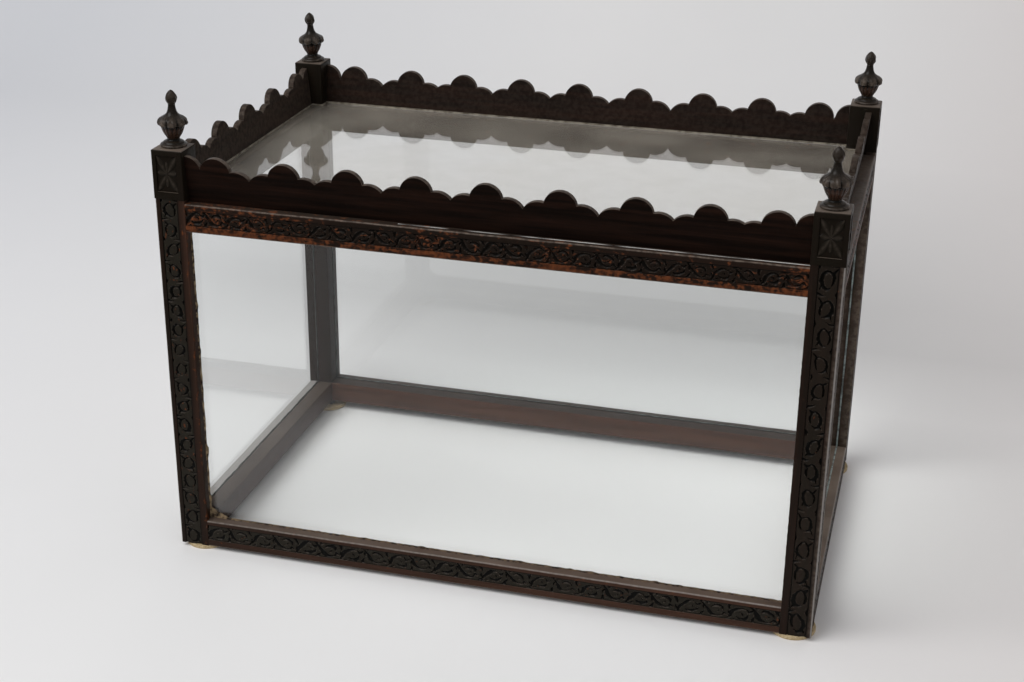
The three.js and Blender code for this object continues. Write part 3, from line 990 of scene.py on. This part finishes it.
def carve_finial(body, settings, tall, reach):
    places = points_of(body)
    radius = np.hypot(places[:, 0], places[:, 1])
    angle = np.arctan2(places[:, 1], places[:, 0])
    share = places[:, 2] / tall
    cup = window(share, 0.13, 0.18, 0.34, 0.39)
    flutes = cup * (0.5 + 0.5 * np.cos(settings.flutes * angle)) ** 2
    leaf = np.abs(np.sin(settings.leaves * angle / 2)) ** 0.6
    collar = window(share, 0.385, 0.41, 0.46, 0.56)
    gaps = -0.1 * collar * (1 - leaf)
    veins = -0.05 * window(share, 0.43, 0.46, 0.52, 0.6) * np.exp(-((leaf - 1) / 0.03) ** 2)
    lumps = 0.03 * collar * np.sin(21 * angle + 40 * share)
    twist = np.abs(np.sin(3.5 * angle + 16 * share))
    facets = -0.12 * window(share, 0.77, 0.82, 0.92, 0.99) * twist
    factor = 1 - 0.06 * flutes + gaps + veins + lumps + facets
    places[:, :2] *= factor[:, None]
    droop = window(share, 0.385, 0.405, 0.43, 0.5) * leaf * (radius > 0.85 * reach)
    places[:, 2] -= 0.028 * tall * droop
    move_points(body, places)
    # Painted shade under the collar, in the flutes, between the leaves and on the waist below the cup
    shade = 0.4 * window(share, 0.3, 0.37, 0.385, 0.4) + 0.35 * flutes
    dark = shade + collar * (1 - leaf) * 0.7 + window(share, 0.1, 0.112, 0.12, 0.14)
    mark(body, "cut", np.clip(dark, 0, 1))
    # Painted highlights on the leaves of the collar, on the foot and on the bud
    foot = window(share, 0, 0.02, 0.04, 0.055)
    mark(body, "painted_highlight", np.clip(0.7 * collar * leaf + 0.5 * foot + 0.2 * (share > 0.75), 0, 1))
    mark(body, "red", 0.45 * window(share, 0.13, 0.2, 0.34, 0.39))


class CASE_OT_finials(bpy.types.Operator):
    """Builds the four finials"""

    bl_idname = "case.finials"
    bl_label = "Finials"

    def execute(self, context):
        model = finial_model("finial-model", context.scene.case.finial)
        for corner, turns in CORNERS.items():
            low, high, _ = size_of(f"finial-{corner}")
            piece = copy_of(model, f"carved-finial-{corner}")
            degrees, behind = FINIAL_SET[corner]
            lean = Matrix.Rotation(math.radians(degrees), 4, "Y")
            x, y, _ = (low + high) / 2
            turn = Matrix.Rotation(turns * 0.4, 4, "Z")
            place(piece, Matrix.Translation((x, y + behind, low[2])) @ lean @ turn)
            hand_over_wood(piece, "finial", 2, f"finial-{corner}", angle=50)
        bpy.data.objects.remove(model)
        return {"FINISHED"}


# Glass, putty and pads


class CASE_OT_glass(bpy.types.Operator):
    """Gives the five panes their glass"""

    bl_idname = "case.glass"
    bl_label = "Glass"

    def execute(self, context):
        for side in SIDES:
            coat(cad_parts[f"glass-pane-{side}"], clear_glass("pane-glass", False))
        coat(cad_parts["glass-pane-top"], clear_glass("lid-glass", True))
        return {"FINISHED"}


def putty_bead(name, run, width, depth, flakes, fill, seed):
    """A ragged bead of putty along X: against the wood at Y = 0, against the glass at Z = 0."""
    outline = [(0, 0), (0, depth), (0.5 * width, 0.45 * depth), (width, 0.12 * MM), (width, 0)]
    bead = bar_along_x(name, outline, run, round(run / BEAD_STEP))
    places = points_of(bead)
    for index, (x, y, z) in enumerate(places):
        reach = y / width
        ragged = drift(x, seed, 0.004) + 0.6 * drift(x, seed + 5, 0.0014)
        flake = max(0.0, drift(x, seed + 7, 0.009) - 0.22) * flakes * (x > 0.2 * run)
        filled = fill * max(0.0, 1 - x / (14 * MM))
        places[index, 1] += reach * (width * 0.6 * ragged + flake + filled)
        places[index, 2] *= 1 + 0.25 * drift(x, seed + 9, 0.01)
    places[:, 0] -= run / 2
    move_points(bead, places)
    return bead


class CASE_OT_putty(bpy.types.Operator):
    """Builds the ragged putty round the panes"""

    bl_idname = "case.putty"
    bl_label = "Putty"

    def execute(self, context):
        for side, turns in SIDES.items():
            low, high, extent = size_of(f"putty-{side}")
            run = extent[turns % 2]
            tall = extent[2]
            front = side == "front"
            width = {"front": 0.55, "left": 1.2}.get(side, 0.5) * MM
            depth = (1.7 if front else 0.6) * MM
            lift = Matrix.Translation((0, PANE_SETBACK, (low[2] + high[2]) / 2))
            beads = []
            for quarter, name in enumerate(("foot", "right", "head", "left")):
                size, half = (run, tall / 2) if quarter % 2 == 0 else (tall, run / 2)
                flakes = {"left": 3.5 * MM, "foot": 2 * MM}.get(name, 0) if front else 0
                fill = 7.5 * MM if front and name == "foot" else 0
                seed = turns * 4 + quarter
                bead = putty_bead(f"putty-{side}-{name}", size, width, depth, flakes, fill, seed)
                share = points_of(bead)[:, 0] / size
                golden = {"left": 1, "foot": np.clip(-3.2 - 8 * share, 0.15, 1)}
                mark(bead, "golden", golden.get(name, 0) if front else 0)
                turn = quarter_turns(-quarter, "Y")
                place(bead, turned_to_side(side) @ lift @ turn @ stood_up((0, 0, -half)))
                beads.append(bead)
            ring = join(beads, f"ragged-putty-{side}")
            stuff = putty_stuff("front-putty" if front else "side-putty")
            hand_over(ring, stuff, f"putty-{side}", angle=60)
        coat(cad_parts["putty-top"], putty_stuff("lid-putty"))
        return {"FINISHED"}


# Hand-set pads: how far each stands from its place, to the right and to the back
PAD_SET = {
    "front-left": (1.2 * MM, 0.9 * MM), "front-right": (-0.2 * MM, 0.9 * MM),
    "back-right": (0, 0), "back-left": (1.2 * MM, -0.3 * MM),
}


class CASE_OT_pads(bpy.types.Operator):
    """Builds the four round pads under the corners"""

    bl_idname = "case.pads"
    bl_label = "Foot pads"

    def execute(self, context):
        for corner in CORNERS:
            low, high, extent = size_of(f"foot-pad-{corner}")
            middle = (low + high) / 2 + (*PAD_SET[corner], 0)
            pad = start(
                bpy.ops.mesh.primitive_cylinder_add, f"felt-pad-{corner}", vertices=72,
                radius=extent[0] / 2 - 0.5 * MM, depth=extent[2], location=tuple(middle),
            )
            apply()
            top = high[2] - TOUCH
            bevel(pad, lambda a, b: (a[2] > top) == (b[2] > top), 0.5 * MM, 2)
            hand_over(pad, felt("pad-felt"), f"foot-pad-{corner}")
        return {"FINISHED"}


# Materials


class Shader:
    """A material and the short calls that add and link its nodes."""

    def __init__(self, name):
        self.material = bpy.data.materials.new(name)
        self.material.use_nodes = True
        self.tree = self.material.node_tree
        self.principled = self.tree.nodes["Principled BSDF"]

    def feed(self, node, values):
        """Gives sockets, by name or number, the output of a node, a number or a colour."""
        for key, value in values.items():
            socket = node.inputs[key]
            if isinstance(value, bpy.types.NodeSocket):
                self.tree.links.new(value, socket)
            else:
                socket.default_value = value if isinstance(value, (int, float)) else (*value, 1)

    def node(self, kind, inputs, **values):
        made = self.tree.nodes.new("ShaderNode" + kind)
        for key, value in values.items():
            setattr(made, key, value)
        self.feed(made, inputs)
        return made

    def place(self, scale):
        mapping = self.node("Mapping", {"Vector": self.node("TexCoord", {}).outputs["Object"]})
        mapping.inputs["Scale"].default_value = scale
        return mapping.outputs["Vector"]

    def noise(self, vector, scale, detail=4.0, rough=0.6):
        inputs = {"Vector": vector, "Scale": scale, "Detail": detail, "Roughness": rough}
        return self.node("TexNoise", inputs).outputs["Fac"]

    def spread(self, source, low, high, to_low=0.0, to_high=1.0):
        inputs = {"Value": source, "From Min": low, "From Max": high}
        inputs.update({"To Min": to_low, "To Max": to_high})
        return self.node("MapRange", inputs).outputs["Result"]

    def math(self, kind, first, second):
        made = self.node("Math", {0: first, 1: second}, operation=kind, use_clamp=True)
        return made.outputs["Value"]

    def times(self, first, second):
        return self.math("MULTIPLY", first, second)

    def mix(self, share, first, second):
        return self.node("Mix", {0: share, 6: first, 7: second}, data_type="RGBA").outputs[2]

    def marked(self, name):
        return self.node("Attribute", {}, attribute_name=name).outputs["Fac"]

    def parts(self, vector):
        return self.node("SeparateXYZ", {"Vector": vector}).outputs

    def bump(self, height, strength, distance):
        made = self.node("Bump", {"Strength": strength, "Distance": distance, "Height": height})
        self.feed(self.principled, {"Normal": made.outputs["Normal"]})

    def finish(self, base, rough, specular):
        inputs = {"Base Color": base, "Roughness": rough, "Specular IOR Level": specular}
        self.feed(self.principled, inputs)
        return self.material


def made_once(make):
    """Makes a material the first time that its name is asked for."""
    def find(name, *settings):
        return bpy.data.materials.get(name) or make(Shader(name), *settings)

    return find


# For each kind of piece: plain wood, its streaks and its carved face by name, how easily the
# stain is worn through (lower is easier), dust and painted sheen on top, gloss and darkness of the
# painted shade in the cuts
WOOD_KINDS = {
    "post": ("dark", "red", "band", 0.64, 0.4, 0.07, 1),
    "top-rail": ("dark", "red", "dark", 0.59, 0.65, 0.07, 0.8),
    "bottom-rail": ("dark", "red", "band", 0.64, 0.65, 0.08, 1),
    "block": ("black", "dark", "black", 0.8, 1, 0.06, 0.8),
    "board": ("deep", "grain", "deep", 0.95, 0.3, 0.04, 1),
    "finial": ("black", "dark", "black", 0.7, 0.1, 0.15, 1),
}


@made_once
def aged_wood(shader, wood, kind, axis):
    """Stained, waxed and worn wood with its grain along an axis, with painted shade in its cuts and
    painted highlights and sheen.
    """
    plain, streak, raised, hold, dust, gloss, darkness = WOOD_KINDS[kind]
    plain, streak, raised = (tuple(getattr(wood, tone)) for tone in (plain, streak, raised))
    mix, spread, times, marked = shader.mix, shader.spread, shader.times, shader.marked

    def drawn(across, along):
        scale = [across, across, across]
        scale[axis] = along
        return shader.place(scale)

    grain = shader.noise(drawn(230.0, 11.0), 1.0)
    patch = shader.noise(drawn(330.0, 150.0), 1.0, 6, 0.62)
    even = shader.place((1, 1, 1))
    blotch = shader.noise(even, 34, 2, 0.5)
    fleck = shader.noise(even, 300, 2, 0.55)
    fine = shader.noise(even, 800, 1)
    base = mix(spread(grain, 0.4, 0.72), plain, streak)
    base = mix(times(marked("red"), spread(grain, 0.3, 0.6, 0.5, 1)), base, wood.faded)
    face = mix(spread(fleck, 0.35, 0.8, 0, 0.6), raised, plain)
    base = mix(marked("band"), base, face)
    wear = shader.math("ADD", times(patch, 0.7), times(fleck, 0.3))
    wear = shader.math("ADD", wear, times(marked("age"), 0.2))
    bare = mix(spread(fleck, 0.4, 0.62), wood.worn, wood.bare)
    base = mix(spread(wear, hold, hold + 0.09), base, bare)
    # Painted shade: the marked cuts and hollows are coloured nearly black
    base = mix(spread(marked("cut"), 0.12, 0.5, 0, darkness), base, wood.cut)
    # Dust on the faces that look up, with painted sheen there as well, less of both on marked ledges;
    # painted highlights on marked edges
    normal = shader.node("NewGeometry", {}).outputs["Normal"]
    up = spread(shader.parts(normal)["Z"], 0.55, 0.95)
    dusty = times(up, shader.math("SUBTRACT", dust, marked("clean")))
    dust_and_sheen = times(dusty, spread(blotch, 0.3, 0.65, 0.5, 1))
    edge = times(marked("painted_highlight"), spread(fleck, 0.38, 0.62, 0.3, 0.85))
    base = mix(shader.math("MAXIMUM", dust_and_sheen, edge), base, wood.dust)
    # Painted highlights and glints, near white, where marked
    base = mix(marked("pale"), base, srgb(232, 230, 226))
    height = shader.math("ADD", times(grain, 0.5), times(fleck, 0.3))
    height = shader.math("ADD", height, times(fine, 0.2))
    shader.bump(height, 0.18, 0.0002)
    polish = 0.16 if kind == "finial" else 0.3
    return shader.finish(base, spread(fleck, 0.3, 0.7, polish, polish + 0.2), gloss)


# Pale and deep tones of the putties, and the tone of their golden flecks
PUTTY_TONES = {
    "front-putty": (srgb(84, 68, 54), srgb(24, 18, 14), srgb(150, 130, 100)),
    "side-putty": (srgb(128, 138, 136), srgb(78, 84, 82), srgb(128, 138, 136)),
    "lid-putty": (srgb(138, 130, 116), srgb(84, 76, 66), srgb(138, 130, 116)),
}


@made_once
def putty_stuff(shader):
    pale, deep, golden = PUTTY_TONES[shader.material.name]
    plain = shader.place((1, 1, 1))
    patches = shader.noise(plain, 210, 5, 0.7)
    fine = shader.noise(plain, 900, 3)
    base = shader.mix(shader.spread(patches, 0.4, 0.56), deep, pale)
    flecks = shader.times(shader.marked("golden"), shader.spread(patches, 0.44, 0.6))
    base = shader.mix(flecks, base, golden)
    height = shader.math("ADD", shader.times(patches, 0.6), shader.times(fine, 0.4))
    shader.bump(height, 0.7, 0.0006)
    return shader.finish(base, 0.85, 0.2)


@made_once
def felt(shader):
    fibres = shader.noise(shader.place((1, 1, 1)), 700)
    base = shader.mix(shader.spread(fibres, 0.3, 0.7), srgb(198, 180, 146), srgb(160, 138, 102))
    shader.bump(fibres, 0.6, 0.0005)
    return shader.finish(base, 0.95, 0.1)


@made_once
def clear_glass(shader, dusty):
    """Clear glass that throws almost no shadow, with a film of dust if wanted."""
    shader.feed(shader.principled, {
        "Base Color": (0.975, 0.985, 0.982), "Roughness": 0.0, "IOR": 1.5, "Transmission Weight": 1.0,
    })
    even = shader.place((1, 1, 1))
    shader.bump(shader.noise(even, 9, 2), 0.02, 0.002)
    clear = shader.node("BsdfTransparent", {"Color": (0.95, 0.96, 0.957)}).outputs["BSDF"]
    seen = shader.principled.outputs["BSDF"]
    if dusty:
        film = shader.node("BsdfDiffuse", {"Color": srgb(206, 198, 184)}).outputs["BSDF"]
        veil = shader.spread(shader.noise(even, 14, 3), 0.3, 0.7, 0.06, 0.16)
        seen = shader.node("MixShader", {0: veil, 1: seen, 2: film}).outputs["Shader"]
    shadow = shader.node("LightPath", {}).outputs["Is Shadow Ray"]
    either = shader.node("MixShader", {0: shadow, 1: seen, 2: clear}).outputs["Shader"]
    shader.feed(shader.tree.nodes["Material Output"], {"Surface": either})
    return shader.material


# Stage


class CASE_OT_stage(bpy.types.Operator):
    """Builds the floor, the light and the camera"""

    bl_idname = "case.stage"
    bl_label = "Stage"

    def execute(self, context):
        stage = context.scene.case.stage
        paper = self.sweep()
        paper.data.materials.append(paper_stuff("paper", stage.floor))
        world = bpy.data.worlds.new("studio")
        context.scene.world = world
        world.use_nodes = True
        background = world.node_tree.nodes["Background"].inputs
        background["Color"].default_value = (*srgb(238, 239, 242), 1)
        background["Strength"].default_value = stage.fill
        spot = Vector((-1.3, -1.4, 2.4))
        aim = Vector((0, 0, 0.1))
        bpy.ops.object.light_add(type="AREA", location=spot)
        lamp = context.active_object
        lamp.name = "key"
        lamp.data.energy = stage.key
        lamp.data.size = 2.2
        lamp.rotation_euler = (aim - spot).to_track_quat("-Z", "Y").to_euler()
        bpy.ops.object.camera_add(location=tuple(stage.camera_place))
        camera = context.active_object
        turn = Matrix.Translation(tuple(stage.camera_place))
        pitch, roll, yaw = stage.camera_turn
        for angle, axis in ((yaw, "Z"), (pitch, "X"), (roll, "Z")):
            turn = turn @ Matrix.Rotation(angle, 4, axis)
        camera.matrix_world = turn
        camera.data.lens = stage.lens
        camera.data.sensor_width = 36
        context.scene.camera = camera
        context.scene.view_settings.view_transform = "Standard"
        return {"FINISHED"}

    def sweep(self):
        """Paper that lies under the case and rises behind it."""
        width, depth = 9, 5.7
        bend = 1.7
        paper = start(bpy.ops.mesh.primitive_plane_add, "paper", size=1)
        move_points(paper, points_of(paper) * (width, depth, 1) + (0, bend - depth / 2, 0))
        select_edges(paper, lambda a, b: a[1] > 1 and b[1] > 1)
        pull((0, 0.5, 4))

        def at_bend(first, second):
            near_bend = max(abs(first[1] - bend), abs(second[1] - bend)) < 0.1 * MM
            return near_bend and first[2] + second[2] < 1

        bevel(paper, at_bend, 0.7, 16)
        bpy.ops.object.shade_smooth()
        return paper


@made_once
def paper_stuff(shader, floor):
    """Pale paper, with soft shades on it and a darker look where the glass mirrors its front."""
    spread, times, mix = shader.spread, shader.times, shader.mix
    even = shader.place((1, 1, 1))
    creases = spread(shader.noise(even, 3.5, 3), 0.3, 0.7, 0, 0.3)
    tone = mix(creases, floor, tuple(0.94 * c for c in floor))
    parts = shader.parts(even)
    x, y = parts["X"], parts["Y"]
    # Painted shade toward both sides of the paper
    tone = mix(spread(x, 0.15, 0.9), tone, srgb(222, 212, 208))
    tone = mix(spread(x, -0.25, -1.1), tone, srgb(220, 221, 224))
    # Painted shadow of the case on the paper behind it
    depth = times(spread(y, 0.24, 0.38), spread(y, 1, 0.5))
    breadth = times(spread(x, -0.5, -0.2), spread(x, 0.6, 0.2, 0, 0.28))
    tone = mix(times(depth, breadth), tone, srgb(20, 28, 26))
    # Painted reflection: the paper in front is dark only in mirrored rays
    path = shader.node("LightPath", {}).outputs
    mirrored = shader.math("SUBTRACT", path["Is Glossy Ray"], path["Is Transmission Ray"])
    tone = mix(times(mirrored, spread(y, -0.33, -0.42)), tone, srgb(42, 40, 38))
    return shader.finish(tone, 0.9, 0.1)


class CASE_PT_panel(bpy.types.Panel):
    """Lists the steps that build the case"""

    bl_idname = "CASE_PT_panel"
    bl_label = "Wardian Case"
    bl_space_type = "VIEW_3D"
    bl_region_type = "UI"
    bl_category = "Wardian Case"

    def draw(self, context):
        for step in STEPS:
            self.layout.operator(step.bl_idname)


STEPS = (
    CASE_OT_posts,
    CASE_OT_rails,
    CASE_OT_blocks,
    CASE_OT_gallery,
    CASE_OT_finials,
    CASE_OT_glass,
    CASE_OT_putty,
    CASE_OT_pads,
    CASE_OT_stage,
)
SETTINGS = (
    WoodSettings, CarvingSettings, GallerySettings, FinialSettings, StageSettings, CaseSettings,
)


def register():
    for group in SETTINGS:
        bpy.utils.register_class(group)
    bpy.types.Scene.case = PointerProperty(type=CaseSettings)
    for step in (*STEPS, CASE_PT_panel):
        bpy.utils.register_class(step)


def unregister():
    for step in reversed((*STEPS, CASE_PT_panel)):
        bpy.utils.unregister_class(step)
    del bpy.types.Scene.case
    for group in reversed(SETTINGS):
        bpy.utils.unregister_class(group)


def main():
    register()
    for step in STEPS:
        family, name = step.bl_idname.split(".")
        getattr(getattr(bpy.ops, family), name)()


if __name__ == "__main__":
    main()
